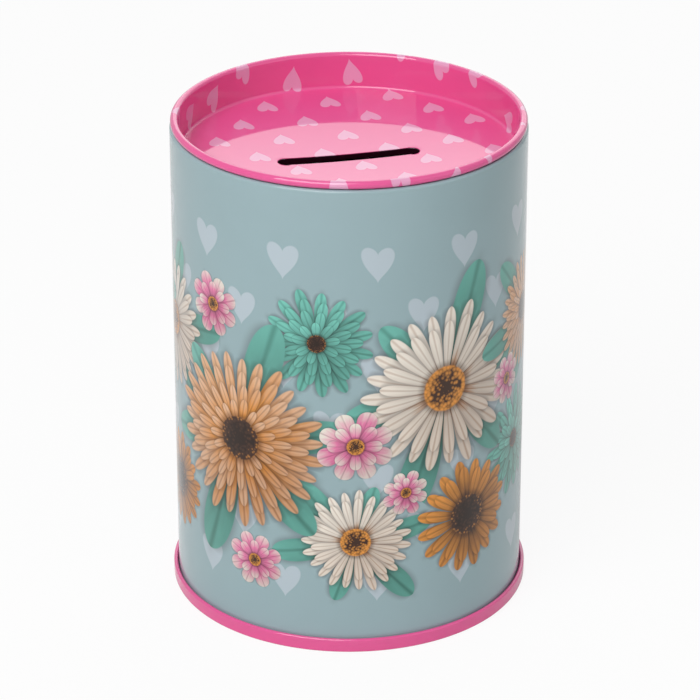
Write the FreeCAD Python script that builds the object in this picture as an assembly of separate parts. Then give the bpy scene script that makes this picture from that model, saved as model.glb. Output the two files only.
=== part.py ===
import FreeCAD, Part
import math
import os

# Tin money box of printed tinplate: a rolled body, a base seamed onto it and a plug lid with a coin slot.
# Millimetres. The origin is the centre of the foot ring's resting plane and +Z is up.
# The coin slot runs along X, and the body's lock seam stands at the back, on +Y.

# Driving dimensions: sheet and overall size
sheet = 0.25                    # tinplate thickness
total_height = 120.0            # resting plane to the top of the lid's bead
body_diameter = 84.0            # outside of the rolled wall

# Body
body_curl_diameter = 1.6        # outside of the inward roll at the top edge
body_curl_sweep = 295.0         # degrees the roll turns from the wall
lock_seam_width = 3.5           # folded strip down the back, inside the wall
lock_seam_layers = 2            # sheets that the fold adds inside the wall
lock_seam_margin = 0.6          # the fold stops this far short of the roll and of the base
seam_groove_width = 0.3         # hairline where the outer sheet ends
seam_groove_depth = 0.1

# Base and the double seam that is also the foot ring
seam_height = 3.5               # resting plane to the top of the foot ring
seam_gap = 0.15                 # between the folded layers
foot_bend_radius = 0.5          # middle line of the two bends under the foot ring
panel_recess = 3.0              # resting plane to the underside of the outer panel
panel_step_height = 0.8         # raised middle of the panel
panel_step_diameter = 60.0      # where the raised middle starts to fall
panel_step_bend = 2.0           # middle line of the two bends of the step
chuck_bend_radius = 0.8         # middle line of the bend from panel to chuck wall

# Lid
lid_bead_diameter = 1.9         # outside of the outward roll that the lid rests on
lid_bead_sweep = 305.0          # degrees the roll turns from the plug wall
lid_seat_gap = 0.1              # lid bead above the body's roll
plug_clearance = 0.25           # plug wall inside the body's roll
well_depth = 9.0                # bead top to the floor where it meets the wall
floor_dish = 2.0                # fall of the floor from its edge to its middle
floor_corner_radius = 1.0       # middle line of the bend from floor to plug wall
slot_length = 34.0
slot_width = 4.2
slot_lip_drop = 1.3             # turned-down lip, below the middle of the floor
slot_edge_radius = 0.2          # rounding of the slot's upper edge

# Worked out from the driving dimensions
half_sheet = sheet / 2
layer_pitch = sheet + seam_gap
wall_radius = body_diameter / 2 - half_sheet
wall_inside = body_diameter / 2 - sheet

chuck_radius = wall_radius - layer_pitch
cover_hook_radius = wall_radius + layer_pitch
body_hook_radius = wall_radius + 2 * layer_pitch
foot_radius = wall_radius + 3 * layer_pitch
hook_bend_centre_z = sheet + seam_gap + layer_pitch + half_sheet
fold_centre_z = seam_height - layer_pitch - half_sheet

body_curl_radius = body_curl_diameter / 2 - half_sheet
body_curl_centre_r = wall_radius - body_curl_radius
body_top = total_height - lid_bead_diameter - lid_seat_gap
body_curl_centre_z = body_top - body_curl_diameter / 2

panel_z = panel_recess + half_sheet
panel_middle_z = panel_z + panel_step_height
panel_top = panel_middle_z + half_sheet

plug_radius = body_diameter / 2 - body_curl_diameter - plug_clearance - half_sheet
bead_radius = lid_bead_diameter / 2 - half_sheet
bead_centre_z = total_height - lid_bead_diameter / 2
floor_edge_z = total_height - well_depth - half_sheet
floor_middle_z = floor_edge_z - floor_dish
dish_radius = (plug_radius ** 2 + floor_dish ** 2) / (2 * floor_dish)
dish_centre_z = floor_middle_z + dish_radius


class SheetPath:
    """Middle line of a sheet's section: tangent runs and bends as (radius, height) points."""

    def __init__(self):
        self.steps = []

    def run(self, start, end):
        self.steps.append((start, end))

    def bend(self, centre, radius, start_angle, end_angle):
        self.steps.append((centre, radius, start_angle, end_angle))

    def side(self, offset):
        """The edges of the path, moved to the left of its direction."""
        return [run_edge(*step, offset) if len(step) == 2 else bend_edge(*step, offset) for step in self.steps]

    def revolve(self):
        """The sheet turned about the Z axis into a solid."""
        left = self.side(half_sheet)
        right = self.side(-half_sheet)
        caps = [line(left[0].Vertexes[0].Point, right[0].Vertexes[0].Point),
                line(left[-1].Vertexes[-1].Point, right[-1].Vertexes[-1].Point)]
        wire = Part.Wire(Part.__sortEdges__(left + right + caps))
        return Part.Face(wire).revolve(FreeCAD.Vector(), FreeCAD.Vector(0, 0, 1), 360)


def section_point(radius, height):
    return FreeCAD.Vector(radius, 0, height)


def line(start, end):
    return Part.LineSegment(start, end).toShape()


def run_edge(start, end, offset):
    along = section_point(*end) - section_point(*start)
    along.normalize()
    shift = FreeCAD.Vector(-along.z, 0, along.x) * offset
    return line(section_point(*start) + shift, section_point(*end) + shift)


def bend_edge(centre, radius, start_angle, end_angle, offset):
    towards_centre = 1 if end_angle > start_angle else -1
    side_radius = radius - towards_centre * offset
    points = []
    for angle in (start_angle, (start_angle + end_angle) / 2, end_angle):
        turn = math.radians(angle)
        away = FreeCAD.Vector(math.cos(turn), 0, math.sin(turn)) * side_radius
        points.append(section_point(*centre) + away)
    return Part.Arc(*points).toShape()


def stadium(length, width, low, high):
    """An upright prism with round ends, centred on the Z axis, long along X."""
    half_width = width / 2
    end = length / 2 - half_width
    corners = [FreeCAD.Vector(x * end, y * half_width, low) for x, y in ((-1, -1), (1, -1), (1, 1), (-1, 1))]
    tips = [FreeCAD.Vector(x * length / 2, 0, low) for x in (-1, 1)]
    edges = [line(corners[0], corners[1]),
             Part.Arc(corners[1], tips[1], corners[2]).toShape(),
             line(corners[2], corners[3]),
             Part.Arc(corners[3], tips[0], corners[0]).toShape()]
    return Part.Face(Part.Wire(edges)).extrude(FreeCAD.Vector(0, 0, high - low))


def make_body():
    """The wall, hooked outwards into the foot seam below and rolled inwards at the top."""
    path = SheetPath()
    path.run((body_hook_radius, fold_centre_z), (body_hook_radius, hook_bend_centre_z))
    path.bend((cover_hook_radius, hook_bend_centre_z), layer_pitch, 0, -180)
    path.run((wall_radius, hook_bend_centre_z), (wall_radius, body_curl_centre_z))
    path.bend((body_curl_centre_r, body_curl_centre_z), body_curl_radius, 0, body_curl_sweep)
    wall = path.revolve()

    low = panel_top + lock_seam_margin
    high = body_top - body_curl_diameter - lock_seam_margin
    fold_inside = wall_inside - lock_seam_layers * sheet
    base = FreeCAD.Vector(0, 0, low)
    band = Part.makeCylinder(wall_radius, high - low, base).cut(Part.makeCylinder(fold_inside, high - low, base))
    reach = FreeCAD.Vector(-lock_seam_width / 2, 0, low)
    fold = band.common(Part.makeBox(lock_seam_width, body_diameter, high - low, reach))

    groove_floor = body_diameter / 2 - seam_groove_depth
    corner = FreeCAD.Vector(-seam_groove_width / 2, groove_floor, low)
    groove = Part.makeBox(seam_groove_width, sheet, high - low, corner)
    groove.rotate(FreeCAD.Vector(), FreeCAD.Vector(0, 0, 1), math.degrees(lock_seam_width / body_diameter))
    return wall.fuse(fold).cut(groove).removeSplitter()


def make_base():
    """The recessed panel, its chuck wall and the seam that wraps the body's hook as the foot ring."""
    swing = math.degrees(math.acos(1 - panel_step_height / (2 * panel_step_bend)))
    step_start = panel_step_diameter / 2
    step_end = step_start + 2 * panel_step_bend * math.sin(math.radians(swing))
    chuck_start = chuck_radius - chuck_bend_radius
    foot_in = chuck_radius + foot_bend_radius
    foot_out = foot_radius - foot_bend_radius
    foot_bend_z = half_sheet + foot_bend_radius

    path = SheetPath()
    path.run((0, panel_middle_z), (step_start, panel_middle_z))
    path.bend((step_start, panel_middle_z - panel_step_bend), panel_step_bend, 90, 90 - swing)
    path.bend((step_end, panel_z + panel_step_bend), panel_step_bend, 270 - swing, 270)
    path.run((step_end, panel_z), (chuck_start, panel_z))
    path.bend((chuck_start, panel_z - chuck_bend_radius), chuck_bend_radius, 90, 0)
    path.run((chuck_radius, panel_z - chuck_bend_radius), (chuck_radius, foot_bend_z))
    path.bend((foot_in, foot_bend_z), foot_bend_radius, 180, 270)
    path.run((foot_in, half_sheet), (foot_out, half_sheet))
    path.bend((foot_out, foot_bend_z), foot_bend_radius, 270, 360)
    path.run((foot_radius, foot_bend_z), (foot_radius, fold_centre_z))
    path.bend((body_hook_radius, fold_centre_z), layer_pitch, 0, 180)
    path.run((cover_hook_radius, fold_centre_z), (cover_hook_radius, hook_bend_centre_z))
    return path.revolve()


def make_lid():
    """The dished floor with its coin slot, the plug wall and the bead that rests on the body."""
    corner_r = plug_radius - floor_corner_radius
    corner_reach = dish_radius - floor_corner_radius
    corner_z = dish_centre_z - math.sqrt(corner_reach ** 2 - corner_r ** 2)
    floor_end = 270 + math.degrees(math.asin(corner_r / corner_reach))

    path = SheetPath()
    path.bend((0, dish_centre_z), dish_radius, 270, floor_end)
    path.bend((corner_r, corner_z), floor_corner_radius, floor_end, 360)
    path.run((plug_radius, corner_z), (plug_radius, bead_centre_z))
    path.bend((plug_radius + bead_radius, bead_centre_z), bead_radius, 180, 180 - lid_bead_sweep)
    pressing = path.revolve()

    lip_low = floor_middle_z - slot_lip_drop
    above_floor = Part.makeSphere(dish_radius, FreeCAD.Vector(0, 0, dish_centre_z))
    lip = stadium(slot_length + 2 * sheet, slot_width + 2 * sheet, lip_low, floor_edge_z).cut(above_floor)
    lid = pressing.fuse(lip).cut(stadium(slot_length, slot_width, lip_low - sheet, floor_edge_z + sheet))
    lid = lid.removeSplitter()
    upper_edges = [edge for edge in lid.Edges if on_slot_top(edge.CenterOfMass)]
    return lid.makeFillet(slot_edge_radius, upper_edges)


def on_slot_top(point):
    """Whether a point lies within the slot's outline and above the middle line of the floor."""
    inside = abs(point.x) <= slot_length / 2 and abs(point.y) <= slot_width / 2 + half_sheet
    return inside and floor_middle_z < point.z < floor_edge_z


os.makedirs("parts", exist_ok=True)
for name, shape in (("body_shell", make_body()), ("base_plate", make_base()), ("plug_lid", make_lid())):
    solid = shape.Solids[0]
    solid.exportStep("parts/" + name + ".step")
    box = solid.optimalBoundingBox()
    print(name, "solids", len(shape.Solids), "valid", solid.isValid(), "volume", round(solid.Volume, 2))
    print("  x %.2f to %.2f, y %.2f to %.2f" % (box.XMin, box.XMax, box.YMin, box.YMax),
          "z %.2f to %.2f" % (box.ZMin, box.ZMax))
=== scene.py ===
"""Dresses a tin money box: a printed wall, a pink seamed base, a pink slotted lid, and a white studio."""
import math
from collections import namedtuple

import bmesh
import bpy
from bpy.props import FloatProperty, FloatVectorProperty, IntProperty, PointerProperty
from mathutils import Color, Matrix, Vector


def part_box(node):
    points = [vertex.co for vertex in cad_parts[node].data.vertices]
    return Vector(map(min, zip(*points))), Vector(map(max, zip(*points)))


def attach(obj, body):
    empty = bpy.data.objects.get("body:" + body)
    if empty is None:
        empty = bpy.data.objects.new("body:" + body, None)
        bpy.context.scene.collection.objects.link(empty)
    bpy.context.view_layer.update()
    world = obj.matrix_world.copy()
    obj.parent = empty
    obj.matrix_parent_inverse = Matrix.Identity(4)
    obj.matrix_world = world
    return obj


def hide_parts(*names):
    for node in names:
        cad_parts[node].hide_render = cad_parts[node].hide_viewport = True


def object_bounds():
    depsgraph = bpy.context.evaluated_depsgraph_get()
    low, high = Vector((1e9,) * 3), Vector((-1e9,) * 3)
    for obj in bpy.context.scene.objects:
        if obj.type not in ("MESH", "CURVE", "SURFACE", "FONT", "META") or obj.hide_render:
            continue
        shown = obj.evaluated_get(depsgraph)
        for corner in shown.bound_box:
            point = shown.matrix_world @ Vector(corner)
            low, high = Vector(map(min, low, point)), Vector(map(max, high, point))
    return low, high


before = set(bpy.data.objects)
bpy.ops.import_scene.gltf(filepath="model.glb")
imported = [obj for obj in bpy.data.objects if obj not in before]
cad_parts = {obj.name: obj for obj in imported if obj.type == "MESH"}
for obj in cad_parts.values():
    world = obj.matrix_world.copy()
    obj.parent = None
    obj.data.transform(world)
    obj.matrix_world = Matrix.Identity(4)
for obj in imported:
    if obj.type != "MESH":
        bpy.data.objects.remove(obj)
CAD_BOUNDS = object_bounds()

bl_info = {
    "name": "Tin Money Box",
    "version": (1, 0, 0),
    "blender": (4, 5, 0),
    "location": "View3D > Sidebar > Money Box",
    "description": "Models and finishes a printed tin money box with a lift-off slotted lid",
    "category": "Add Mesh",
}

MM = 0.001
TO_MM = 1000.0
FULL_TURN = 2 * math.pi
MERGE_DISTANCE = 0.001 * MM
SHARP_ANGLE = math.radians(40)

# Boxes of the solids that the pieces stand for, in metres
WALL_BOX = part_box("body_shell")
BASE_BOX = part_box("base_plate")
LID_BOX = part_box("plug_lid")


def measured(length):
    """A length read from the solids, to a hundredth of a millimetre."""
    return round(length, 5)


def printed(red, green, blue):
    """A colour as it looks on the print, 0 to 255, as linear light."""
    shares = [part / 255 for part in (red, green, blue)]
    return tuple(Color(shares).from_srgb_to_scene_linear())


def length_property(name, description, default):
    return FloatProperty(name=name, description=description, default=default,
                         min=0.0, precision=5, subtype="DISTANCE", unit="LENGTH")


def colour_property(name, description, default):
    return FloatVectorProperty(name=name, description=description, default=default,
                               size=3, min=0.0, max=1.0, subtype="COLOR")


class MoneyBoxSizes(bpy.types.PropertyGroup):
    """Sizes of the three pressed sheets"""

    sheet: length_property("Sheet", "Thickness of the tinplate", 0.25 * MM)
    seam_gap: length_property("Seam gap", "Room between the folded layers of the foot seam", 0.15 * MM)
    total_height: length_property("Height", "Table to the top of the lid's bead", measured(LID_BOX[1].z))
    wall_top: length_property("Wall top", "Table to the top of the wall's roll", measured(WALL_BOX[1].z))
    hook_radius: length_property("Hook radius", "Outside of the wall's hook in the foot seam",
                                 measured(WALL_BOX[1].x))
    foot_radius: length_property("Foot radius", "Outside of the foot ring", measured(BASE_BOX[1].x))
    bead_reach: length_property("Bead reach", "Axis to the outside of the lid's bead",
                                measured(LID_BOX[1].x))
    wall_roll: length_property("Wall roll", "Radius of the roll at the top of the wall", 0.8 * MM)
    lid_roll: length_property("Lid roll", "Radius of the lid's bead", 0.95 * MM)
    seam_height: length_property("Seam height", "Table to the top of the foot ring", 3.5 * MM)
    foot_bend: length_property("Foot bend", "Rounding of the foot ring's lower corners", 0.625 * MM)
    panel_recess: length_property("Panel recess", "Table to the outer panel of the base", 3.0 * MM)
    panel_step: length_property("Panel step", "Rise of the base's middle", 0.8 * MM)
    step_radius: length_property("Step radius", "Where the base's raised middle ends", 30.0 * MM)
    step_bend: length_property("Step bend", "Rounding of the panel's step", 2.0 * MM)
    chuck_bend: length_property("Chuck bend", "Rounding where the panel meets its rim", 0.675 * MM)
    well_depth: length_property("Well depth", "Bead top to the edge of the lid's floor", 9.0 * MM)
    floor_dish: length_property("Floor dish", "Fall of the lid's floor to its middle", 2.0 * MM)
    floor_corner: length_property("Floor corner", "Rounding where the lid's floor meets its wall",
                                  0.875 * MM)
    slot_length: length_property("Slot length", "Length of the coin slot", 34.0 * MM)
    slot_width: length_property("Slot width", "Width of the coin slot", 4.2 * MM)
    slot_lip: length_property("Slot lip", "Depth of the slot's turned-down lip", 1.3 * MM)
    slot_round: length_property("Slot rounding", "Rounding of the slot's upper edge", 0.35 * MM)
    lock_seam_width: length_property("Lock seam", "Width of the fold inside the wall at the back", 3.5 * MM)
    lock_seam_margin: length_property("Lock seam margin", "Room above and below the fold", 0.6 * MM)
    groove_width: length_property("Groove width", "Hairline beside the lock seam, outside", 0.5 * MM)
    groove_depth: length_property("Groove depth", "Depth of that hairline", 0.1 * MM)
    turn_steps: IntProperty(name="Steps", description="Faces round the box", default=256, min=64, max=512)


def wall_radius(sizes):
    """Axis to the outside of the rolled wall."""
    return sizes.hook_radius - 2 * (sizes.sheet + sizes.seam_gap)


def plug_radius(sizes):
    """Axis to the printed side of the lid's wall."""
    return sizes.bead_reach - 2 * sizes.lid_roll


class MoneyBoxColours(bpy.types.PropertyGroup):
    """Colours of the printed sheets"""

    wall_blue: colour_property("Wall", "Ground of the wall's print", printed(153, 177, 182))
    wall_heart: colour_property("Wall hearts", "Pale hearts on the wall", printed(186, 199, 207))
    pink: colour_property("Pink", "Ground of the lid's and the base's print", printed(232, 84, 150))
    pink_heart: colour_property("Lid hearts", "Pale hearts on the lid", printed(230, 160, 196))
    tinplate: colour_property("Tinplate", "Bare metal inside", printed(205, 204, 200))
    ginger: colour_property("Ginger", "Petals of the large blooms", printed(226, 150, 66))
    cream: colour_property("Cream", "Petals of the pale blooms", printed(244, 236, 224))
    mint: colour_property("Mint", "Petals and leaves in green-blue", printed(112, 186, 172))
    blush: colour_property("Blush", "Petals of the small blooms", printed(232, 128, 172))
    bark: colour_property("Bark", "Dark middles of the blooms", printed(70, 42, 26))


class Value:
    """A number in a shader. Arithmetic on it adds Math nodes."""

    def __init__(self, graph, socket):
        self.graph = graph
        self.socket = socket

    def __add__(self, other):
        return self.graph.math("ADD", self, other)

    def __radd__(self, other):
        return self.graph.math("ADD", other, self)

    def __sub__(self, other):
        return self.graph.math("SUBTRACT", self, other)

    def __rsub__(self, other):
        return self.graph.math("SUBTRACT", other, self)

    def __mul__(self, other):
        return self.graph.math("MULTIPLY", self, other)

    def __rmul__(self, other):
        return self.graph.math("MULTIPLY", other, self)

    def __truediv__(self, other):
        return self.graph.math("DIVIDE", self, other)

    def __rtruediv__(self, other):
        return self.graph.math("DIVIDE", other, self)

    def __pow__(self, other):
        return self.graph.math("POWER", self, other)

    def __mod__(self, other):
        return self.graph.math("FLOORED_MODULO", self, other)

    def __neg__(self):
        return self.graph.math("MULTIPLY", self, -1.0)

    def __abs__(self):
        return self.graph.math("ABSOLUTE", self)

    def __lt__(self, other):
        return self.graph.math("LESS_THAN", self, other)


class Graph:
    """The node tree of a material or of the world."""

    def __init__(self, owner):
        owner.use_nodes = True
        self.tree = owner.node_tree
        self.tree.nodes.clear()

    def add(self, kind, settings=None, inputs=None, output=0):
        """Adds a node: its settings, then the values or links of its sockets. Gives one of its outputs."""
        node = self.tree.nodes.new(kind)
        for key, setting in (settings or {}).items():
            if key == "stops":
                set_stops(node.color_ramp.elements, setting)
            else:
                setattr(node, key, setting)
        for key, value in (inputs or {}).items():
            if isinstance(value, Value):
                self.tree.links.new(value.socket, node.inputs[key])
            else:
                node.inputs[key].default_value = value
        return Value(self, node.outputs[output]) if node.outputs else node

    def math(self, operation, *values):
        return self.add("ShaderNodeMath", {"operation": operation}, dict(enumerate(values)))

    def fade(self, value, start, end, top=1.0):
        """Rises smoothly from 0 to top as value goes from start to end, whichever of them is larger."""
        return self.add("ShaderNodeMapRange", {"interpolation_type": "SMOOTHSTEP"},
                        {"Value": value, "From Min": start, "From Max": end, "To Max": top})

    def scaled(self, value, factor, offset):
        """value * factor + offset, in one node."""
        return self.math("MULTIPLY_ADD", value, factor, offset)

    def mix(self, share, first, second):
        """A number between two numbers."""
        return self.add("ShaderNodeMix", {"data_type": "FLOAT"}, {0: share, 2: first, 3: second})

    def blend(self, share, first, second, mode="MIX"):
        """A colour between two colours, or the second laid on the first in another mode."""
        ends = [c if isinstance(c, Value) else (*c, 1.0) for c in (first, second)]
        return self.add("ShaderNodeMix", {"data_type": "RGBA", "blend_type": mode},
                        {0: share, 6: ends[0], 7: ends[1]}, 2)

    def ramp(self, share, *stops):
        """A colour along (place, colour) stops."""
        return self.add("ShaderNodeValToRGB", {"stops": stops}, {"Fac": share})

    def place(self):
        """Object coordinates x, y and z, in millimetres."""
        point = self.add("ShaderNodeTexCoord", output="Object")
        return [self.add("ShaderNodeSeparateXYZ", None, {0: point}, axis) * TO_MM for axis in range(3)]

    def point(self, x, y, z=0.0):
        return self.add("ShaderNodeCombineXYZ", None, {0: x, 1: y, 2: z})

    def noise(self, where, grain):
        return self.add("ShaderNodeTexNoise", None,
                        {"Vector": where, "Scale": grain.scale, "Detail": grain.detail})

    def chance(self, number):
        """A steady random share for a whole number."""
        return self.add("ShaderNodeTexWhiteNoise", {"noise_dimensions": "1D"}, {"W": number})

    def bump(self, height, strength, distance):
        return self.add("ShaderNodeBump", None,
                        {"Strength": strength, "Distance": distance, "Height": height})

    def surface(self, **inputs):
        """A Principled surface on the material's output. A socket's name has underscores for spaces."""
        named = {key.replace("_", " "): value for key, value in inputs.items()}
        shader = self.add("ShaderNodeBsdfPrincipled", None, named)
        self.add("ShaderNodeOutputMaterial", None, {"Surface": shader})


def set_stops(elements, stops):
    while len(elements) < len(stops):
        elements.new(1.0)
    for element, (place, colour) in zip(elements, stops):
        element.position = place
        element.color = (*colour, 1.0)


def shaded(colour, share):
    """A colour made darker, or lighter where share is over 1."""
    return tuple(min(1.0, part * share) for part in colour)


def between(first, second, share):
    """A colour part of the way from one colour to another."""
    return tuple(a + (b - a) * share for a, b in zip(first, second))


class Outline:
    """A chain of edges in the XZ half-plane that runs and bends as the printed side of a sheet does."""

    def __init__(self, radius, height):
        self.mesh = bmesh.new()
        self.end = self.mesh.verts.new((radius, 0.0, height))

    def run(self, radius, height, pieces=1):
        start = self.end.co.copy()
        goal = Vector((radius, 0.0, height))
        for piece in range(pieces):
            self.end = bmesh.ops.extrude_vert_indiv(self.mesh, verts=[self.end])["verts"][0]
            self.end.co = start.lerp(goal, (piece + 1) / pieces)

    def bend(self, radius, height, degrees, steps):
        """Turns about a centre, anticlockwise where degrees are positive."""
        made = bmesh.ops.spin(self.mesh, geom=[self.end], cent=(radius, 0.0, height),
                              axis=(0.0, -1.0, 0.0), angle=math.radians(degrees), steps=steps)
        self.end = [part for part in made["geom_last"] if isinstance(part, bmesh.types.BMVert)][0]

    def turn(self, steps, sheet_start=0.0):
        """Spins the chain into a surface. Each vertex keeps its run along the chain, and the radius that
        its place had on the flat sheet before pressing, if pressing kept the sheet's area."""
        run_layer = self.mesh.verts.layers.float.new("run")
        flat_layer = self.mesh.verts.layers.float.new("flat")
        run = 0.0
        area = sheet_start ** 2
        before = None
        for vertex in self.mesh.verts:
            if before:
                step = (vertex.co - before).length
                run += step
                area += (vertex.co.x + before.x) * step
            vertex[run_layer] = run
            vertex[flat_layer] = math.sqrt(area)
            before = vertex.co
        bmesh.ops.spin(self.mesh, geom=self.mesh.verts[:] + self.mesh.edges[:], cent=(0.0, 0.0, 0.0),
                       axis=(0.0, 0.0, 1.0), angle=FULL_TURN, steps=steps, use_merge=True)
        bmesh.ops.remove_doubles(self.mesh, verts=self.mesh.verts[:], dist=MERGE_DISTANCE)
        return self.mesh


def face_out(mesh, outward):
    """Makes all faces of a sheet agree, so that outward, a number for each face, is positive over all."""
    bmesh.ops.recalc_face_normals(mesh, faces=mesh.faces[:])
    mesh.normal_update()
    agree = sum(face.calc_area() * outward(face) for face in mesh.faces)
    if agree < 0:
        bmesh.ops.reverse_faces(mesh, faces=mesh.faces[:])


def round_over(mesh, edges, radius, steps):
    bmesh.ops.bevel(mesh, geom=edges, offset=radius, segments=steps, profile=0.5, affect="EDGES",
                    material=-1)


def thicken(mesh, sheet):
    """Gives a sheet its thickness behind the printed side. Bare faces take the second material."""
    front = set(mesh.faces)
    bmesh.ops.solidify(mesh, geom=mesh.faces[:], thickness=sheet)
    for face in mesh.faces:
        face.material_index = 0 if face in front else 1
        face.smooth = True


def round_the_axis(vertex, near):
    """A vertex's angle from the front, unwound so that it lies within half a turn of another angle."""
    angle = math.atan2(vertex.co.x, -vertex.co.y)
    return near + (angle - near + math.pi) % FULL_TURN - math.pi


# Places of the printed and the bare side on a piece's map
BAKE_MAP = "OFBake"
STRIP_MARGIN = 0.01
STRIP_BANDS = ((0.31, 0.99), (0.01, 0.29))
DISC_PLACES = ((0.34, 0.66, 0.33), (0.83, 0.17, 0.16))


def map_as_strip(mesh):
    """Lays a wall out for baking: angle across, run along the chain upwards, one band per material."""
    run_layer = mesh.verts.layers.float["run"]
    longest = max(vertex[run_layer] for vertex in mesh.verts)
    layer = mesh.loops.layers.uv.new(BAKE_MAP)
    for face in mesh.faces:
        middle = face.calc_center_median()
        near = math.atan2(middle.x, -middle.y)
        low, high = STRIP_BANDS[face.material_index]
        for loop in face.loops:
            across = round_the_axis(loop.vert, near) / FULL_TURN + 0.5
            up = loop.vert[run_layer] / longest
            loop[layer].uv = (STRIP_MARGIN + (1 - 2 * STRIP_MARGIN) * across, low + (high - low) * up)


def map_as_discs(mesh, tuck=None):
    """Lays a pressed disc out for baking as the flat sheet it was, one disc per material. The function
    tuck may move a vertex's place on the sheet."""
    flat_layer = mesh.verts.layers.float["flat"]
    largest = max(vertex[flat_layer] for vertex in mesh.verts)
    layer = mesh.loops.layers.uv.new(BAKE_MAP)
    for face in mesh.faces:
        centre_x, centre_y, radius = DISC_PLACES[face.material_index]
        scale = radius / largest
        for loop in face.loops:
            place = loop.vert.co.xy
            if place.length > 0:
                place = place.normalized() * loop.vert[flat_layer]
            if tuck:
                place = tuck(loop.vert, place)
            loop[layer].uv = (centre_x + place.x * scale, centre_y + place.y * scale)


def finished_piece(mesh, name, body, slot, materials, *nodes):
    """Makes an object of a mesh, with its finish, and sets it on the body that it moves with."""
    data = bpy.data.meshes.new(name)
    mesh.to_mesh(data)
    mesh.free()
    data.set_sharp_from_angle(angle=SHARP_ANGLE)
    for material in materials:
        data.materials.append(material)
    piece = bpy.data.objects.new(name, data)
    bpy.context.scene.collection.objects.link(piece)
    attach(piece, body)
    if nodes:
        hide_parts(*nodes)
    return piece


# Finishes. Places and sizes on the print are in millimetres.

Grain = namedtuple("Grain", "scale detail")

# Hearts: the shape, then the rows on the wall and on the lid's flat sheet
HEART_LOBE_POWER = 0.6
HEART_LEAN = 0.08
HEART_TOP = 1.54
HEART_EDGE = 0.1
HEART_CLEFT = 0.0001
WALL_HEART_SIZE = (7.7, 8.75)
WALL_HEARTS_AROUND = 12
WALL_HEART_ROWS = 7
WALL_HEART_ROW_PITCH = 13.7
WALL_HEART_TOP_ROW = 99.6
WALL_HEART_START = -2.93
WALL_HEART_INK = 0.9
LID_HEART_SIZE = (4.95, 5.9)
LID_HEART_PITCH = 15.56
LID_HEART_ROW_PITCH = 9.54
LID_HEART_START = (-5.22, 3.97)


def heart(graph, x, y, width, height):
    """1 on an upright heart centred on x = y = 0, with its left lobe a little taller."""
    side = x / (width / 2)
    rise = y / (height / (HEART_TOP + 1)) + (HEART_TOP - 1) / 2 + side * HEART_LEAN
    lobe = rise - graph.math("MAXIMUM", abs(side), HEART_CLEFT) ** HEART_LOBE_POWER
    return graph.fade(side * side + lobe * lobe, 1 + HEART_EDGE, 1 - HEART_EDGE)


def wall_hearts(graph, around, height, radius):
    """The staggered rows of hearts on the wall's ground."""
    pitch = FULL_TURN * radius / WALL_HEARTS_AROUND
    row = graph.math("ROUND", (WALL_HEART_TOP_ROW - height) / WALL_HEART_ROW_PITCH)
    row = graph.math("MINIMUM", graph.math("MAXIMUM", row, 0.0), WALL_HEART_ROWS - 1.0)
    x = graph.math("WRAP", around - WALL_HEART_START + (row % 2.0) * (pitch / 2), pitch / 2, -pitch / 2)
    y = height - WALL_HEART_TOP_ROW + row * WALL_HEART_ROW_PITCH
    return heart(graph, x, y, *WALL_HEART_SIZE)


def lid_hearts(graph, x, y):
    """The staggered rows of hearts on the lid's flat sheet, pointing to the back."""
    row = graph.math("ROUND", (y - LID_HEART_START[1]) / LID_HEART_ROW_PITCH)
    shift = LID_HEART_START[0] + (row % 2.0) * (LID_HEART_PITCH / 2)
    across = graph.math("WRAP", x - shift, LID_HEART_PITCH / 2, -LID_HEART_PITCH / 2)
    along = y - LID_HEART_START[1] - row * LID_HEART_ROW_PITCH
    return heart(graph, -across, -along, *LID_HEART_SIZE)


# Blooms: a Bloom is a place on the wall, a Ring is petals in units of the bloom's radius, and a Style is
# the rings and the eye that all blooms at its places have
Bloom = namedtuple("Bloom", "around height radius")
Ring = namedtuple("Ring", "count reach width tip spread phase stops")
Style = namedtuple("Style", "rings eye eye_stops places")

PRINT_REPEATS = 2
PRINT_LIGHT_ANGLE = math.radians(125)
CHANCES_PER_BLOOM = 61.0

# Petals: edge, shadow and midrib are shares of a petal's width for each petal in the ring
PETAL_EDGE = 0.006
PETAL_SHADOW = 0.032
PETAL_MIDRIB = 0.014
WIDEST_MIDRIB = 0.22
MIDRIB_SHADE = 0.35
RIM_SHADE = 0.3
TURNED_SHADE = 0.15
SHADE_INK = 0.8
SHADOW_INSET = 0.1
SHADOW_DEPTH = 0.55
SHADOW_TIP = (1.12, 0.9)
SHADOW_INK = (0.25, 0.22, 0.22)
STREAK = Grain(2.4, 3.0)
STREAKS_APART = 5.3
STREAKS_ACROSS = 2.2
STREAKS_ALONG = 1.3
STREAK_TONE = 0.5
LUCK_TONE = 0.25

# Eyes: sizes are shares of the eye's radius
EYE_GRAINS = 6.5
EYE_TONE = 0.3
EYE_RISE = 0.8
GRAIN_TONE = -0.9
EYE_EDGE = (1.04, 0.94)
EYE_SHADOW = 1.35
EYE_SHADOW_DEPTH = 0.6
EYE_SHADOW_INK = (0.2, 0.14, 0.1)


def closest_bloom(graph, around, height, places, period):
    """Place in the closest bloom, in units of its radius: x, y, distance squared and the bloom's number."""
    best = None
    for number, place in enumerate(places):
        x = graph.math("WRAP", around - place.around, period / 2, -period / 2) / place.radius
        y = (height - place.height) / place.radius
        here = (x, y, x * x + y * y, float(number))
        if best is None:
            best = here
        else:
            nearer = here[2] < best[2]
            best = tuple(graph.mix(nearer, old, new) for old, new in zip(best, here))
    return best


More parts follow.
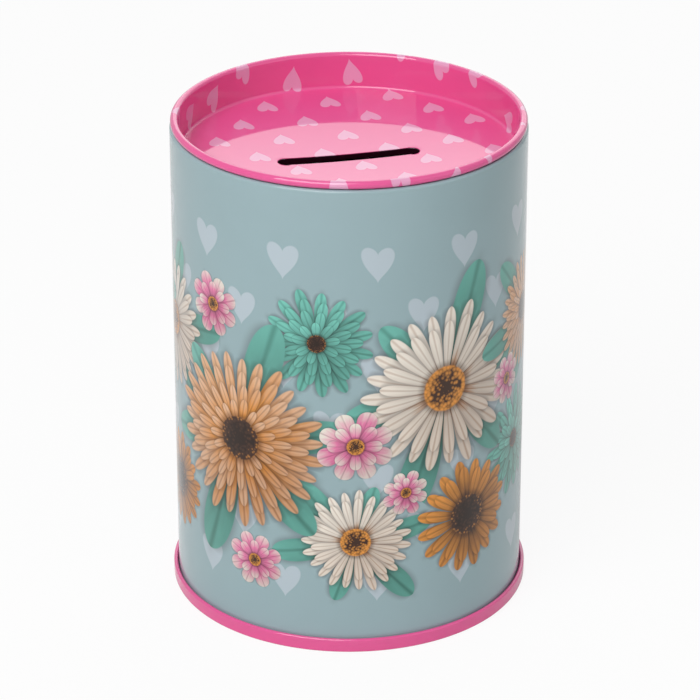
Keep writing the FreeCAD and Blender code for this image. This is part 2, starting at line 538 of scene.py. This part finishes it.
def petal_ring(graph, under, ring, distance, turn, number):
    """One ring of petals laid on what is under it, with the shadow that it casts there."""
    place = graph.scaled(turn, ring.count, ring.phase)
    petal = graph.math("FLOOR", place)
    across = graph.scaled(place - petal, 2.0, -1.0)
    luck = graph.chance(graph.scaled(number, CHANCES_PER_BLOOM, petal % ring.count))
    along = distance / graph.scaled(luck, -ring.spread * ring.reach, ring.reach)
    room = graph.math("MAXIMUM", 1 - along ** ring.tip, 0.0)
    edge = graph.scaled(graph.math("SQRT", room), ring.width, -abs(across))
    streak_x = graph.scaled(petal, STREAKS_APART, across * STREAKS_ACROSS)
    streak = graph.noise(graph.point(streak_x, along * STREAKS_ALONG, number), STREAK)
    tone = graph.scaled(streak, STREAK_TONE, graph.scaled(luck, LUCK_TONE, along))
    colour = graph.ramp(tone - (STREAK_TONE + LUCK_TONE) / 2, *ring.stops)
    facing = graph.math("COSINE", graph.scaled(turn, FULL_TURN, -PRINT_LIGHT_ANGLE))
    turned_away = graph.scaled(facing, -TURNED_SHADE, TURNED_SHADE)
    rim = across * across
    midrib_width = min(PETAL_MIDRIB * ring.count, WIDEST_MIDRIB)
    midrib = graph.fade(abs(across), midrib_width, 0.0, MIDRIB_SHADE)
    shade = graph.scaled(rim, RIM_SHADE, midrib + turned_away)
    colour = graph.blend(shade, colour, shaded(ring.stops[0][1], SHADE_INK), "MULTIPLY")
    beside = graph.fade(edge, -PETAL_SHADOW * ring.count, SHADOW_INSET, SHADOW_DEPTH)
    cast = beside * graph.fade(along, *SHADOW_TIP)
    under = graph.blend(cast, under, SHADOW_INK, "MULTIPLY")
    return graph.blend(graph.fade(edge, 0.0, PETAL_EDGE * ring.count), under, colour)


def bloom(graph, under, around, height, style, period):
    """Blooms of one style laid on what is under them."""
    x, y, square, number = closest_bloom(graph, around, height, style.places, period)
    distance = graph.math("SQRT", square)
    turn = graph.math("ARCTAN2", y, x) / FULL_TURN
    colour = under
    for ring in style.rings:
        colour = petal_ring(graph, colour, ring, distance, turn, number)
    grains = graph.add("ShaderNodeTexVoronoi", None,
                       {"Vector": graph.point(x, y), "Scale": EYE_GRAINS / style.eye})
    tone = graph.scaled(distance, EYE_RISE / style.eye, graph.scaled(grains, GRAIN_TONE, EYE_TONE))
    eye = graph.ramp(tone, *style.eye_stops)
    ringed = graph.fade(distance, style.eye * EYE_SHADOW, style.eye, EYE_SHADOW_DEPTH)
    colour = graph.blend(ringed, colour, EYE_SHADOW_INK, "MULTIPLY")
    edge = graph.fade(distance, style.eye * EYE_EDGE[0], style.eye * EYE_EDGE[1])
    return graph.blend(edge, colour, eye)


def bloom_styles(colours):
    """The blooms of the wall's print, from those that lie behind to those in front."""
    ginger = tuple(colours.ginger)
    cream = tuple(colours.cream)
    mint = tuple(colours.mint)
    blush = tuple(colours.blush)
    bark = tuple(colours.bark)
    leaf_stops = ((0.0, shaded(mint, 0.35)), (0.55, shaded(mint, 0.75)), (1.0, mint))
    ginger_stops = ((0.15, shaded(ginger, 0.3)), (0.5, ginger), (1.0, between(ginger, cream, 0.4)))
    cream_stops = ((0.15, shaded(ginger, 0.55)), (0.42, shaded(cream, 0.8)), (0.9, cream))
    tan_stops = ((0.2, shaded(bark, 1.2)), (0.55, shaded(ginger, 0.6)), (1.0, shaded(ginger, 1.1)))
    mint_stops = ((0.1, shaded(mint, 0.3)), (0.5, shaded(mint, 0.8)), (1.0, shaded(mint, 1.25)))
    blush_stops = ((0.1, shaded(blush, 0.45)), (0.55, blush), (1.0, shaded(cream, 0.95)))
    eye_stops = ((0.1, shaded(bark, 0.35)), (0.6, bark), (1.0, shaded(ginger, 0.7)))
    gold_stops = ((0.1, shaded(bark, 0.8)), (0.55, shaded(ginger, 0.8)), (1.0, shaded(ginger, 1.15)))
    leaves = Ring(6, 1.5, 0.62, 1.7, 0.3, 0.3, leaf_stops)
    dahlia = Style(
        (Ring(15, 1.0, 0.95, 3.0, 0.1, 0.0, mint_stops), Ring(14, 0.82, 0.95, 3.0, 0.1, 0.4, mint_stops),
         Ring(12, 0.62, 0.95, 3.0, 0.1, 0.8, mint_stops), Ring(9, 0.42, 0.95, 3.0, 0.1, 0.2, mint_stops)),
        0.16, eye_stops,
        (Bloom(-17, 80, 14.0), Bloom(41, 43, 14.0)))
    daisy = Style(
        (leaves, Ring(23, 1.0, 0.93, 5.0, 0.12, 0.0, cream_stops),
         Ring(21, 0.84, 0.93, 5.0, 0.14, 0.45, cream_stops)),
        0.26, gold_stops,
        (Bloom(14, 66, 22.0), Bloom(-8, 29, 14.0), Bloom(-67, 72, 17.0)))
    gerbera = Style(
        (leaves, Ring(27, 1.0, 0.95, 5.0, 0.1, 0.0, ginger_stops),
         Ring(25, 0.84, 0.95, 5.0, 0.1, 0.5, ginger_stops),
         Ring(23, 0.66, 0.95, 4.0, 0.12, 0.2, ginger_stops),
         Ring(17, 0.46, 0.95, 4.0, 0.16, 0.7, ginger_stops)),
        0.24, eye_stops,
        (Bloom(-37, 52, 23.0), Bloom(47, 75, 15.0)))
    rudbeckia = Style(
        (Ring(16, 1.0, 0.95, 4.0, 0.08, 0.0, tan_stops), Ring(15, 0.86, 0.95, 4.0, 0.1, 0.5, tan_stops)),
        0.34, eye_stops,
        (Bloom(21, 31, 15.0), Bloom(-64, 31, 13.0)))
    cosmos = Style(
        (Ring(8, 1.0, 0.97, 6.0, 0.08, 0.0, blush_stops), Ring(8, 0.7, 0.9, 5.0, 0.1, 0.5, blush_stops)),
        0.22, gold_stops,
        (Bloom(-8, 54, 9.5), Bloom(-45, 84, 8.0), Bloom(-33, 21, 7.5), Bloom(36, 61, 6.5),
         Bloom(4, 41, 6.0)))
    return dahlia, daisy, gerbera, rudbeckia, cosmos


# Varnished inks
WALL_VARNISH = {"Specular_IOR_Level": 0.1, "Coat_Weight": 1.0, "Coat_IOR": 1.36, "Coat_Roughness": 0.04}
PINK_VARNISH = {"Specular_IOR_Level": 0.1, "Coat_Weight": 1.0, "Coat_IOR": 1.55, "Coat_Roughness": 0.03}
WALL_ROUGHNESS = 0.36
PINK_ROUGHNESS = 0.34
SCUFF = Grain(0.35, 4.0)
SCUFF_ROUGHNESS = 0.1
PEEL = Grain(0.9, 2.0)
PEEL_STRENGTH = 0.02
PEEL_HEIGHT = 0.2 * MM
WALL_MOTTLE = Grain(0.08, 3.0)
PINK_MOTTLE = Grain(0.1, 3.0)
INK_SPREAD = (0.97, 1.03)
AFTER_UNDER = 0.000001

# The lid's sheet: its stretch when it was drawn, more at the front, and where painted shade turns the
# slot's lip near black
DRAW_STRETCH = 0.06
FRONT_DRAW = 0.27
FRONT_START = (0.15, 0.7)
LEAST_REACH = 0.01
LIP_SHADE_START = (0.04, 0.2)
LIP_PAINTED_SHADE = 0.02

# Bare tinplate
MILL_LINES = Grain(1.0, 3.0)
MILL_ACROSS = 8.0
MILL_ALONG = 0.15
MILL_STRENGTH = 0.08
MILL_HEIGHT = 0.1 * MM
MILL_ROUGHNESS = 0.12
METAL_CLOUD = Grain(0.12, 3.0)
METAL_SPREAD = (0.9, 1.04)
METAL_ROUGHNESS = 0.26
CLOUD_ROUGHNESS = 0.08


def mottled(graph, share, colour, spread):
    """A colour that drifts between a darker and a lighter shade of itself."""
    return graph.blend(share, *(shaded(colour, end) for end in spread))


def varnished(graph, colour, place, roughness, varnish):
    """A print under varnish that is a little scuffed and uneven."""
    worn = roughness + SCUFF_ROUGHNESS * graph.noise(graph.point(*place), SCUFF)
    peel = graph.noise(graph.point(*place), PEEL)
    graph.surface(Base_Color=colour, Roughness=worn, Normal=graph.bump(peel, PEEL_STRENGTH, PEEL_HEIGHT),
                  **varnish)


def wall_finish(sizes, colours):
    """Varnished print on the wall: blue-grey ground, pale hearts and a scatter of blooms."""
    material = bpy.data.materials.new("varnished_wall_print")
    graph = Graph(material)
    x, y, z = graph.place()
    radius = wall_radius(sizes) * TO_MM
    around = graph.math("ARCTAN2", x, -y) * radius
    mottle = graph.noise(graph.point(x, y, z), WALL_MOTTLE)
    colour = mottled(graph, mottle, colours.wall_blue, INK_SPREAD)
    hearts = wall_hearts(graph, around, z, radius) * WALL_HEART_INK
    colour = graph.blend(hearts, colour, tuple(colours.wall_heart))
    period = FULL_TURN * radius / PRINT_REPEATS
    for style in bloom_styles(colours):
        # A trace of the colour under it makes a style wait its turn, so that few numbers are held at once
        under = graph.add("ShaderNodeRGBToBW", None, {0: colour})
        colour = bloom(graph, colour, graph.scaled(under, AFTER_UNDER, around), z, style, period)
    varnished(graph, colour, (x, y, z), WALL_ROUGHNESS, WALL_VARNISH)
    return material


def pink_ground(graph, colours, place):
    return mottled(graph, graph.noise(graph.point(*place), PINK_MOTTLE), colours.pink, INK_SPREAD)


def base_finish(colours):
    """Plain varnished pink."""
    material = bpy.data.materials.new("varnished_pink")
    graph = Graph(material)
    place = graph.place()
    varnished(graph, pink_ground(graph, colours, place), place, PINK_ROUGHNESS, PINK_VARNISH)
    return material


def lid_finish(sizes, colours):
    """Varnished pink, with hearts laid out on the flat sheet before pressing, and painted shade that turns
    the slot's lip near black.
    """
    material = bpy.data.materials.new("varnished_pink_hearts")
    graph = Graph(material)
    x, y, z = graph.place()
    reach = graph.math("MAXIMUM", graph.math("SQRT", x * x + y * y), LEAST_REACH)
    flat = graph.add("ShaderNodeAttribute", {"attribute_name": "flat"}, None, "Fac") * TO_MM
    floor_edge = (plug_radius(sizes) - sizes.floor_corner) * TO_MM
    stretched = DRAW_STRETCH + FRONT_DRAW * graph.fade(-y / reach, *FRONT_START)
    wall = graph.math("MAXIMUM", flat - floor_edge, 0.0)
    ratio = (flat - wall * stretched) / reach
    colour = pink_ground(graph, colours, (x, y, z))
    colour = graph.blend(lid_hearts(graph, x * ratio, y * ratio), colour, tuple(colours.pink_heart))
    floor_z = (sizes.total_height - sizes.well_depth - sizes.floor_dish) * TO_MM
    dish = sizes.floor_dish / plug_radius(sizes) ** 2 / TO_MM
    below = floor_z + reach * reach * dish - z
    # Painted shade: the slot's turned-down lip, below the floor, fades to near-black pink
    colour = graph.blend(graph.fade(below, *LIP_SHADE_START), colour, shaded(colours.pink, LIP_PAINTED_SHADE))
    varnished(graph, colour, (x, y, z), PINK_ROUGHNESS, PINK_VARNISH)
    return material


def tinplate_finish(colours):
    """Bare rolled tinplate, with the fine lines of the rolling mill."""
    material = bpy.data.materials.new("bare_tinplate")
    graph = Graph(material)
    x, y, z = graph.place()
    lines = graph.noise(graph.point(x * MILL_ACROSS, y * MILL_ACROSS, z * MILL_ALONG), MILL_LINES)
    cloud = graph.noise(graph.point(x, y, z), METAL_CLOUD)
    colour = mottled(graph, cloud, colours.tinplate, METAL_SPREAD)
    bump = graph.bump(lines, MILL_STRENGTH, MILL_HEIGHT)
    roughness = METAL_ROUGHNESS + MILL_ROUGHNESS * lines + CLOUD_ROUGHNESS * cloud
    graph.surface(Base_Color=colour, Metallic=1.0, Roughness=roughness, Normal=bump)
    return material


def bare_metal(colours):
    """The one bare tinplate that all the pieces share."""
    return bpy.data.materials.get("bare_tinplate") or tinplate_finish(colours)


# Pieces

class MoneyBoxPiece:
    """What the operators share: the sizes and colours of the scene."""

    bl_options = {"REGISTER", "UNDO"}

    def settings(self, context):
        return context.scene.money_box_sizes, context.scene.money_box_colours


class MONEYBOX_OT_wall(MoneyBoxPiece, bpy.types.Operator):
    """Make the printed wall, rolled at its top and hooked into the foot seam"""

    bl_idname = "money_box.wall"
    bl_label = "Printed Wall"

    HOOK_STEPS = 8
    WALL_RINGS = 24
    ROLL_SWEEP = 295
    ROLL_STEPS = 26
    GROOVE_CUTS = 9
    GROOVE_FOOT = 6 * MM
    GROOVE_HEAD = 4 * MM
    CLOSE = 0.01 * MM
    CHORD_SAG = 0.05 * MM

    def execute(self, context):
        sizes, colours = self.settings(context)
        layer = sizes.sheet + sizes.seam_gap
        radius = wall_radius(sizes)
        hook_face = sizes.hook_radius - sizes.sheet
        bend_r = (radius + hook_face) / 2
        bend_z = 2 * layer + sizes.sheet / 2
        roll_z = sizes.wall_top - sizes.wall_roll
        outline = Outline(hook_face, sizes.seam_height - layer - sizes.sheet / 2)
        outline.run(hook_face, bend_z)
        outline.bend(bend_r, bend_z, -180, self.HOOK_STEPS)
        outline.run(radius, roll_z, self.WALL_RINGS)
        outline.bend(radius - sizes.wall_roll, roll_z, self.ROLL_SWEEP, self.ROLL_STEPS)
        mesh = outline.turn(sizes.turn_steps)
        face_out(mesh, lambda face: face.normal.xy.dot(face.calc_center_median().xy))
        self.press_groove(mesh, sizes, radius)
        thicken(mesh, sizes.sheet)
        map_as_strip(mesh)
        finished_piece(mesh, "printed_wall", "tin", "printed_wall",
                       (wall_finish(sizes, colours), bare_metal(colours)), "body_shell")
        return {"FINISHED"}

    def press_groove(self, mesh, sizes, radius):
        """Presses the hairline beside the lock seam into the back of the wall."""
        groove = sizes.lock_seam_width / 2 / radius
        window = 2 * FULL_TURN / sizes.turn_steps
        high = sizes.wall_top - self.GROOVE_HEAD

        def off_groove(vertex):
            return math.atan2(vertex.co.x, vertex.co.y) + groove

        def near_groove(vertex, gap):
            return abs(off_groove(vertex)) < window and abs(vertex.co.xy.length - radius) < gap

        def is_level(edge):
            return abs(edge.verts[0].co.z - edge.verts[1].co.z) < self.CLOSE

        across = [edge for edge in mesh.edges
                  if all(near_groove(vertex, self.CLOSE) for vertex in edge.verts) and is_level(edge)]
        bmesh.ops.subdivide_edges(mesh, edges=across, cuts=self.GROOVE_CUTS)
        for vertex in mesh.verts:
            if near_groove(vertex, self.CHORD_SAG):
                depth = 0.0
                if self.GROOVE_FOOT < vertex.co.z < high:
                    aside = off_groove(vertex) * radius / sizes.groove_width
                    depth = sizes.groove_depth * math.exp(-(2 * aside) ** 2)
                vertex.co.xy = vertex.co.xy.normalized() * (radius - depth)


class MONEYBOX_OT_lock_seam(MoneyBoxPiece, bpy.types.Operator):
    """Make the folded seam inside the wall at the back"""

    bl_idname = "money_box.lock_seam"
    bl_label = "Lock Seam"

    FOLD_CUTS = 7
    FOLD_ROUND = 0.2 * MM
    FOLD_ROUND_STEPS = 3

    def execute(self, context):
        sizes, colours = self.settings(context)
        radius = wall_radius(sizes) - sizes.sheet
        low = sizes.panel_recess + sizes.panel_step + sizes.sheet + sizes.lock_seam_margin
        high = sizes.wall_top - 2 * sizes.wall_roll - sizes.lock_seam_margin
        mesh = bmesh.new()
        bmesh.ops.create_cube(mesh, size=1.0)
        across = [edge for edge in mesh.edges if abs(edge.verts[0].co.x - edge.verts[1].co.x) > 0.5]
        bmesh.ops.subdivide_edges(mesh, edges=across, cuts=self.FOLD_CUTS)
        for vertex in mesh.verts:
            angle = vertex.co.x * sizes.lock_seam_width / radius
            reach = radius - sizes.sheet + vertex.co.y * 2 * sizes.sheet
            height = low + (vertex.co.z + 0.5) * (high - low)
            vertex.co = (math.sin(angle) * reach, math.cos(angle) * reach, height)
        inner = [edge for edge in mesh.edges
                 if all(vertex.co.xy.length < radius - sizes.sheet for vertex in edge.verts)
                 and edge.calc_face_angle(0.0) > SHARP_ANGLE]
        round_over(mesh, inner, self.FOLD_ROUND, self.FOLD_ROUND_STEPS)
        bmesh.ops.recalc_face_normals(mesh, faces=mesh.faces[:])
        for face in mesh.faces:
            face.smooth = True
        finished_piece(mesh, "lock_seam_fold", "tin", "printed_wall", (bare_metal(colours),))
        return {"FINISHED"}


class MONEYBOX_OT_base(MoneyBoxPiece, bpy.types.Operator):
    """Make the recessed base and the pink foot ring that it is folded into"""

    bl_idname = "money_box.base"
    bl_label = "Base And Foot Ring"

    MIDDLE_RINGS = 12
    PANEL_RINGS = 5
    STEP_BEND_STEPS = 5
    CORNER_STEPS = 6
    RIM_RINGS = 3
    FOLD_STEPS = 14

    def execute(self, context):
        sizes, colours = self.settings(context)
        layer = sizes.sheet + sizes.seam_gap
        half = sizes.sheet / 2
        low = sizes.panel_recess
        high = low + sizes.panel_step
        swing = math.acos(1 - sizes.panel_step / (2 * sizes.step_bend))
        step_end = sizes.step_radius + 2 * sizes.step_bend * math.sin(swing)
        chuck = wall_radius(sizes) - layer - sizes.sheet
        fold_z = sizes.seam_height - layer - half
        fold_out = layer + half
        outline = Outline(0.0, high)
        outline.run(sizes.step_radius, high, self.MIDDLE_RINGS)
        outline.bend(sizes.step_radius, high + half - sizes.step_bend, -math.degrees(swing),
                     self.STEP_BEND_STEPS)
        outline.bend(step_end, low + half + sizes.step_bend, math.degrees(swing), self.STEP_BEND_STEPS)
        outline.run(chuck - sizes.chuck_bend, low, self.PANEL_RINGS)
        outline.bend(chuck - sizes.chuck_bend, low - sizes.chuck_bend, -90, self.CORNER_STEPS)
        outline.run(chuck, sizes.foot_bend, self.RIM_RINGS)
        outline.bend(chuck + sizes.foot_bend, sizes.foot_bend, 90, self.CORNER_STEPS)
        outline.run(sizes.foot_radius - sizes.foot_bend, 0.0)
        outline.bend(sizes.foot_radius - sizes.foot_bend, sizes.foot_bend, 90, self.CORNER_STEPS)
        outline.run(sizes.foot_radius, fold_z, self.RIM_RINGS)
        outline.bend(sizes.foot_radius - fold_out, fold_z, 180, self.FOLD_STEPS)
        outline.run(sizes.foot_radius - 2 * fold_out, layer + fold_out)
        mesh = outline.turn(sizes.turn_steps)
        face_out(mesh, lambda face: -face.normal.z if face.calc_center_median().z < high + half else 0.0)
        thicken(mesh, sizes.sheet)
        map_as_discs(mesh)
        finished_piece(mesh, "pink_base", "tin", "pink_base",
                       (base_finish(colours), bare_metal(colours)), "base_plate")
        return {"FINISHED"}


class MONEYBOX_OT_lid(MoneyBoxPiece, bpy.types.Operator):
    """Make the lid: a dished floor with its coin slot, the plug wall and the rolled bead"""

    bl_idname = "money_box.lid"
    bl_label = "Slotted Lid"

    SLOT_ROUND_STEPS = 64
    SLOT_EDGE_STEPS = 4
    FLOOR_RINGS = 14
    CORNER_STEPS = 8
    WALL_RINGS = 8
    BEAD_SWEEP = 305
    BEAD_STEPS = 30

    def execute(self, context):
        sizes, colours = self.settings(context)
        wall = plug_radius(sizes)
        roll_z = sizes.total_height - sizes.lid_roll
        dish_radius = (wall ** 2 + sizes.floor_dish ** 2) / (2 * sizes.floor_dish)
        dish_z = sizes.total_height - sizes.well_depth - sizes.floor_dish + dish_radius
        corner_r = wall - sizes.floor_corner
        corner_reach = dish_radius - sizes.floor_corner
        corner_z = dish_z - math.sqrt(corner_reach ** 2 - corner_r ** 2)
        swing = math.asin(corner_r / corner_reach)
        edge_r = dish_radius * math.sin(swing)
        outline = Outline(edge_r, dish_z - dish_radius * math.cos(swing))
        outline.bend(corner_r, corner_z, 90 - math.degrees(swing), self.CORNER_STEPS)
        outline.run(wall, roll_z, self.WALL_RINGS)
        outline.bend(wall + sizes.lid_roll, roll_z, -self.BEAD_SWEEP, self.BEAD_STEPS)
        mesh = outline.turn(sizes.turn_steps, edge_r)
        floor_edge = [edge for edge in mesh.edges
                      if edge.is_boundary and edge.verts[0].co.xy.length < wall - sizes.floor_corner / 2]
        slot_edge = self.slot_outline(mesh, sizes)
        bridge = bmesh.ops.bridge_loops(mesh, edges=floor_edge + slot_edge)
        bmesh.ops.subdivide_edges(mesh, edges=bridge["edges"], cuts=self.FLOOR_RINGS, use_grid_fill=True)

        def dish_height(vertex):
            return dish_z - math.sqrt(dish_radius ** 2 - vertex.co.xy.length_squared)

        def on_floor(vertex):
            return vertex.co.xy.length < edge_r + MERGE_DISTANCE and vertex.co.z < roll_z - sizes.lid_roll

        def floor_upward(face):
            return face.normal.z if face.calc_center_median().xy.length < corner_r else 0.0

        for vertex in filter(on_floor, mesh.verts):
            vertex.co.z = dish_height(vertex)
        self.turn_down_lip(mesh, sizes)
        flat_layer = mesh.verts.layers.float["flat"]
        for vertex in filter(on_floor, mesh.verts):
            vertex[flat_layer] = vertex.co.xy.length
        face_out(mesh, floor_upward)
        thicken(mesh, sizes.sheet)
        map_as_discs(mesh, self.lip_tuck(sizes, dish_height))
        finished_piece(mesh, "slotted_lid", "lid", "pink_lid",
                       (lid_finish(sizes, colours), bare_metal(colours)), "plug_lid")
        return {"FINISHED"}

    def slot_outline(self, mesh, sizes):
        """A round-ended loop for the slot, with as many edges as the lid has steps."""
        steps = self.SLOT_ROUND_STEPS
        radius = sizes.slot_width / 2
        made = bmesh.ops.create_circle(mesh, cap_ends=False, radius=radius, segments=steps)
        half_step = math.pi / steps
        stretch = sizes.slot_length / 2 - radius
        for vertex in made["verts"]:
            angle = math.atan2(vertex.co.y, vertex.co.x) + half_step
            end = math.copysign(stretch, math.cos(angle))
            vertex.co = (end + math.cos(angle) * radius, math.sin(angle) * radius, 0.0)
        loop = list({edge for vertex in made["verts"] for edge in vertex.link_edges})
        long_sides = [edge for edge in loop if edge.calc_length() > stretch]
        cuts = (sizes.turn_steps - steps) // 2
        bmesh.ops.subdivide_edges(mesh, edges=long_sides, cuts=cuts)
        return [edge for edge in mesh.edges if edge.is_wire]

    def lip_tuck(self, sizes, dish_height):
        """A function that folds the lip flat into the slot, where it has room on the sheet's map."""
        half_line = (sizes.slot_length - sizes.slot_width) / 2

        def tuck(vertex, place):
            inward = Vector((max(-half_line, min(half_line, place.x)), 0.0)) - place
            depth = dish_height(vertex) - vertex.co.z - sizes.sheet
            on_lip = inward.length < sizes.slot_width / 2 + 2 * sizes.sheet and depth > 0
            return place + inward.normalized() * depth if on_lip else place

        return tuck

    def turn_down_lip(self, mesh, sizes):
        """Extrudes the slot's edge down and rounds it over."""
        slot_edge = [edge for edge in mesh.edges
                     if edge.is_boundary and edge.verts[0].co.xy.length < sizes.slot_length]
        made = bmesh.ops.extrude_edge_only(mesh, edges=slot_edge)
        lowered = [part for part in made["geom"] if isinstance(part, bmesh.types.BMVert)]
        lip_low = min(vertex.co.z for vertex in lowered) - sizes.slot_lip
        for vertex in lowered:
            vertex.co.z = lip_low
        round_over(mesh, slot_edge, sizes.slot_round, self.SLOT_EDGE_STEPS)


# Studio

CAMERA_LENS = 185.74
SENSOR = 36.0
CAMERA_DISTANCE = 0.8696
CAMERA_AZIMUTH = -13.0
CAMERA_ELEVATION = 25.35
CAMERA_AIM = (0.00025, 0.0, 0.0589)
WHITE = (1.0, 1.0, 1.0, 1.0)
OFF_WHITE = (0.9, 0.9, 0.9, 1.0)

# Square lamps round the box, with azimuths in degrees from the camera, metres and watts
Lamp = namedtuple("Lamp", "name azimuth elevation distance width power")
LAMPS = (
    Lamp("key_lamp", -28, 48, 1.2, 0.8, 10.5),
    Lamp("fill_lamp", 60, 30, 1.4, 0.9, 1.0),
    Lamp("back_screen", 170, 34, 1.1, 1.0, 3.4),
)


def view_direction(azimuth, elevation):
    """From the box towards a viewer: azimuth 0 is the front, and positive azimuths are to the right."""
    turn = math.radians(azimuth)
    rise = math.radians(elevation)
    return Vector((math.sin(turn) * math.cos(rise), -math.cos(turn) * math.cos(rise), math.sin(rise)))


def aim_at(thing, target):
    thing.rotation_euler = (Vector(target) - thing.location).to_track_quat("-Z", "Y").to_euler()


class MONEYBOX_OT_stage(MoneyBoxPiece, bpy.types.Operator):
    """Make the white floor, the soft lamps, the surroundings and the camera"""

    bl_idname = "money_box.stage"
    bl_label = "Studio"

    FLOOR_SPAN = 6.0
    FLOOR_SEEN = 0.9
    FLOOR_GLOSSED = 0.2
    AMBIENT = 0.28
    GLOSSED = 0.75

    def execute(self, context):
        scene = context.scene
        scene.view_settings.view_transform = "Standard"
        self.make_floor(scene)
        self.make_world(scene)
        for lamp in LAMPS:
            self.make_lamp(scene, lamp)
        self.make_camera(scene)
        return {"FINISHED"}

    def make_floor(self, scene):
        mesh = bmesh.new()
        bmesh.ops.create_grid(mesh, x_segments=2, y_segments=2, size=self.FLOOR_SPAN / 2)
        data = bpy.data.meshes.new("floor")
        mesh.to_mesh(data)
        mesh.free()
        floor = bpy.data.objects.new("floor", data)
        scene.collection.objects.link(floor)
        material = bpy.data.materials.new("white_sweep")
        graph = Graph(material)
        seen = self.seen_share(graph, "Is Camera Ray") * self.FLOOR_SEEN
        glossed = self.seen_share(graph) * self.FLOOR_GLOSSED
        matte = graph.add("ShaderNodeBsdfDiffuse", None, {"Color": OFF_WHITE})
        glow = graph.add("ShaderNodeEmission", None, {"Color": WHITE, "Strength": 1.0})
        share = graph.math("MAXIMUM", seen, glossed)
        mixed = graph.add("ShaderNodeMixShader", None, {0: share, 1: matte, 2: glow})
        below = graph.add("ShaderNodeNewGeometry", output="Backfacing")
        clear = graph.add("ShaderNodeBsdfTransparent")
        one_sided = graph.add("ShaderNodeMixShader", None, {0: below, 1: mixed, 2: clear})
        graph.add("ShaderNodeOutputMaterial", None, {"Surface": one_sided})
        data.materials.append(material)

    def seen_share(self, graph, *kinds):
        """1 for rays that see the surroundings directly or in a gloss, 0 for those that light the box."""
        share = 0.0
        for kind in kinds or ("Is Camera Ray", "Is Glossy Ray", "Is Transmission Ray"):
            share = graph.math("MAXIMUM", graph.add("ShaderNodeLightPath", output=kind), share)
        return share

    def make_world(self, scene):
        world = bpy.data.worlds.new("studio")
        scene.world = world
        graph = Graph(world)
        glossed = graph.mix(self.seen_share(graph), self.AMBIENT, self.GLOSSED)
        strength = graph.mix(self.seen_share(graph, "Is Camera Ray"), glossed, 1.0)
        sky = graph.add("ShaderNodeBackground", None, {"Color": WHITE, "Strength": strength})
        graph.add("ShaderNodeOutputWorld", None, {"Surface": sky})

    def make_lamp(self, scene, lamp):
        light = bpy.data.lights.new(lamp.name, "AREA")
        light.shape = "SQUARE"
        light.size = lamp.width
        light.energy = lamp.power
        holder = bpy.data.objects.new(lamp.name, light)
        scene.collection.objects.link(holder)
        middle = Vector((0.0, 0.0, CAD_BOUNDS[1][2] / 2))
        direction = view_direction(CAMERA_AZIMUTH + lamp.azimuth, lamp.elevation)
        holder.location = middle + direction * lamp.distance
        aim_at(holder, middle)

    def make_camera(self, scene):
        data = bpy.data.cameras.new("photo_camera")
        data.sensor_width = SENSOR
        data.lens = CAMERA_LENS
        camera = bpy.data.objects.new("photo_camera", data)
        scene.collection.objects.link(camera)
        direction = view_direction(CAMERA_AZIMUTH, CAMERA_ELEVATION)
        camera.location = Vector(CAMERA_AIM) + direction * CAMERA_DISTANCE
        aim_at(camera, CAMERA_AIM)
        scene.camera = camera


class MONEYBOX_PT_sidebar(bpy.types.Panel):
    """Lists the pieces of the money box and its sizes and colours"""

    bl_idname = "MONEYBOX_PT_sidebar"
    bl_label = "Money Box"
    bl_space_type = "VIEW_3D"
    bl_region_type = "UI"
    bl_category = "Money Box"

    def draw(self, context):
        for operator in OPERATORS:
            self.layout.operator(operator.bl_idname)
        for group in (context.scene.money_box_sizes, context.scene.money_box_colours):
            column = self.layout.column(align=True)
            for name in group.__annotations__:
                column.prop(group, name)


OPERATORS = (MONEYBOX_OT_wall, MONEYBOX_OT_lock_seam, MONEYBOX_OT_base, MONEYBOX_OT_lid, MONEYBOX_OT_stage)
CLASSES = (MoneyBoxSizes, MoneyBoxColours, *OPERATORS, MONEYBOX_PT_sidebar)


def register():
    for cls in CLASSES:
        bpy.utils.register_class(cls)
    bpy.types.Scene.money_box_sizes = PointerProperty(type=MoneyBoxSizes)
    bpy.types.Scene.money_box_colours = PointerProperty(type=MoneyBoxColours)


def unregister():
    del bpy.types.Scene.money_box_colours
    del bpy.types.Scene.money_box_sizes
    for cls in reversed(CLASSES):
        bpy.utils.unregister_class(cls)


def main():
    register()
    bpy.ops.money_box.wall()
    bpy.ops.money_box.lock_seam()
    bpy.ops.money_box.base()
    bpy.ops.money_box.lid()
    bpy.ops.money_box.stage()


if __name__ == "__main__":
    main()
